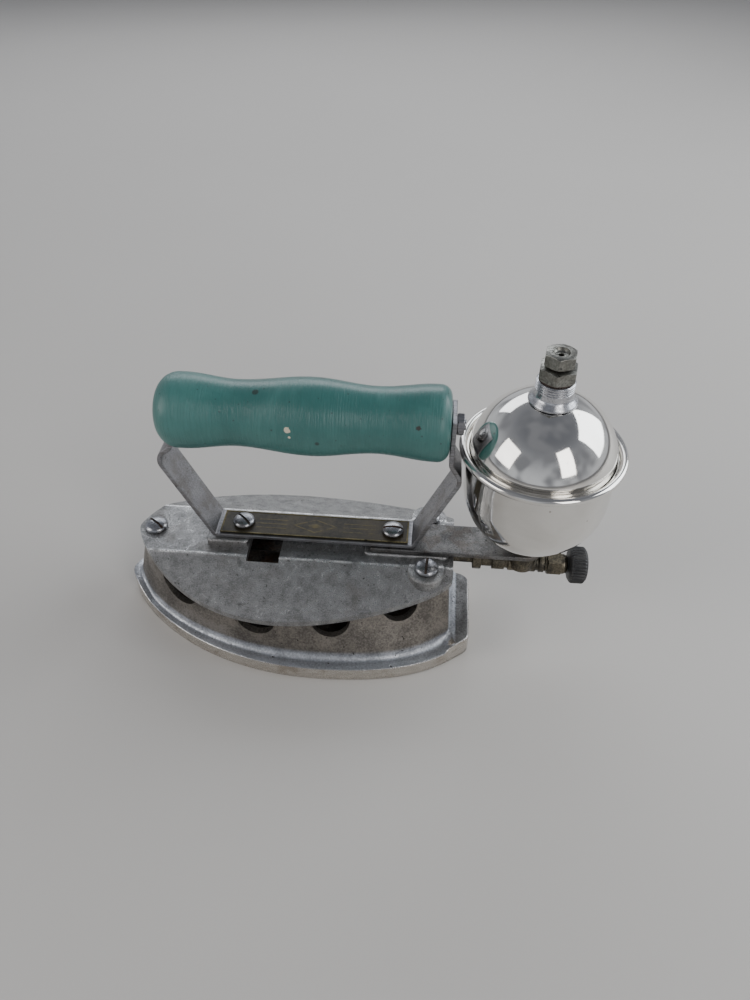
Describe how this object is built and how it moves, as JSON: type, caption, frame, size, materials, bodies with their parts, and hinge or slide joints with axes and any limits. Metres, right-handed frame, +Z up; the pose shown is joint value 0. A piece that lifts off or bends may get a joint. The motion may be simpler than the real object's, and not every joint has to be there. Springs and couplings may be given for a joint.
{
  "type": "self-heating clothes iron",
  "caption": "Fuel-burning pressing iron with a boat-shaped sole, vented body, round tank behind the handle and a control valve under the tank.",
  "frame": {"origin": "middle of the sole's flat underside", "axes": "+X from the nose to the tank, +Z up from the sole, +Y across"},
  "size_m": [0.2337, 0.104, 0.1534],
  "materials": {
    "sole_base": "grey cast iron, polished side band",
    "top_cover": "dull grey cast iron",
    "cover_screw_nose": "worn nickel plate",
    "cover_screw_heel_front": "worn nickel plate",
    "cover_screw_heel_back": "worn nickel plate",
    "handle_strap": "satin grey",
    "nameplate": "dark enamel with a thin border",
    "strap_screw_front": "worn nickel plate",
    "strap_screw_rear": "worn nickel plate",
    "handle_grip": "green paint over turned wood",
    "handle_rod": "plain",
    "handle_nut": "plain",
    "tank_bracket": "grey speckled",
    "tank_bowl": "polished nickel plate",
    "tank_dome": "polished nickel plate",
    "filler_neck": "polished nickel plate",
    "filler_gasket": "hard fibre",
    "filler_plug": "tarnished nickel plate",
    "air_cap_seal": "hard fibre",
    "air_cap": "tarnished nickel plate",
    "check_valve_plunger": "plain",
    "check_valve_spring": "wire",
    "tank_spud": "oxidised",
    "pickup_tube": "oxidised",
    "valve_body": "oxidised",
    "stem_packing": "hard fibre",
    "packing_gland": "oxidised",
    "valve_stem": "plain",
    "valve_knob": "black moulded, ribbed",
    "generator_tube": "oxidised",
    "generator_nut": "oxidised",
    "jet_nozzle": "oxidised",
    "mixing_tube": "plain",
    "burner_tube": "plain",
    "burner_screw_front": "plain",
    "burner_screw_rear": "plain"
  },
  "bodies": {
    "iron": {"sole_base": "sole_base", "top_cover": "top_cover", "cover_screw_nose": "cover_screw_nose", "cover_screw_heel_front": "cover_screw_heel_front", "cover_screw_heel_back": "cover_screw_heel_back", "handle_strap": "handle_strap", "nameplate": "nameplate", "strap_screw_front": "strap_screw_front", "strap_screw_rear": "strap_screw_rear", "handle_grip": "handle_grip", "handle_rod": "handle_rod", "handle_nut": "handle_nut", "tank_bracket": "tank_bracket", "tank_bowl": "tank_bowl", "tank_dome": "tank_dome", "filler_neck": "filler_neck", "tank_spud": "tank_spud", "pickup_tube": "pickup_tube", "valve_body": "valve_body", "stem_packing": "stem_packing", "packing_gland": "packing_gland", "generator_tube": "generator_tube", "generator_nut": "generator_nut", "jet_nozzle": "jet_nozzle", "mixing_tube": "mixing_tube", "burner_tube": "burner_tube", "burner_screw_front": "burner_screw_front", "burner_screw_rear": "burner_screw_rear"},
    "valve_stem": {"valve_stem": "valve_stem"},
    "valve_knob": {"valve_knob": "valve_knob"},
    "filler_lift": {"filler_gasket": "filler_gasket"},
    "filler_plug": {"filler_plug": "filler_plug", "check_valve_spring": "check_valve_spring"},
    "cap_lift": {"air_cap_seal": "air_cap_seal"},
    "air_cap": {"air_cap": "air_cap"},
    "check_valve": {"check_valve_plunger": "check_valve_plunger"}
  },
  "joints": [
    {"name": "valve_stem_slide", "type": "slide", "parent": "iron", "child": "valve_stem", "axis": [1, 0, 0], "range_m": [0, 0.0026]},
    {"name": "valve_knob_turn", "type": "hinge", "parent": "valve_stem", "child": "valve_knob", "pos_m": [0.13755, 0, 0.0355], "axis": [1, 0, 0], "range_deg": [0, 722]},
    {"name": "filler_lift_slide", "type": "slide", "parent": "iron", "child": "filler_lift", "axis": [0, 0, 1], "range_m": [0, 0.0077]},
    {"name": "filler_plug_turn", "type": "hinge", "parent": "filler_lift", "child": "filler_plug", "pos_m": [0.1108, 0, 0.144], "axis": [0, 0, 1], "range_deg": [0, 1983]},
    {"name": "cap_lift_slide", "type": "slide", "parent": "filler_plug", "child": "cap_lift", "axis": [0, 0, 1], "range_m": [0, 0.0028]},
    {"name": "air_cap_turn", "type": "hinge", "parent": "cap_lift", "child": "air_cap", "pos_m": [0.1108, 0, 0.15], "axis": [0, 0, 1], "range_deg": [0, 1263]},
    {"name": "check_valve_slide", "type": "slide", "parent": "filler_plug", "child": "check_valve", "axis": [0, 0, -1], "range_m": [0, 0.0015], "stiffness_N_per_m": 60, "springref_m": -0.002, "deforming": ["check_valve_spring"]}
  ],
  "couplings": [
    {"joint": "valve_knob_turn", "follows": "valve_stem_slide", "rad_per_m": 4833.2},
    {"joint": "filler_plug_turn", "follows": "filler_lift_slide", "rad_per_m": 4488},
    {"joint": "air_cap_turn", "follows": "cap_lift_slide", "rad_per_m": 7854}
  ]
}
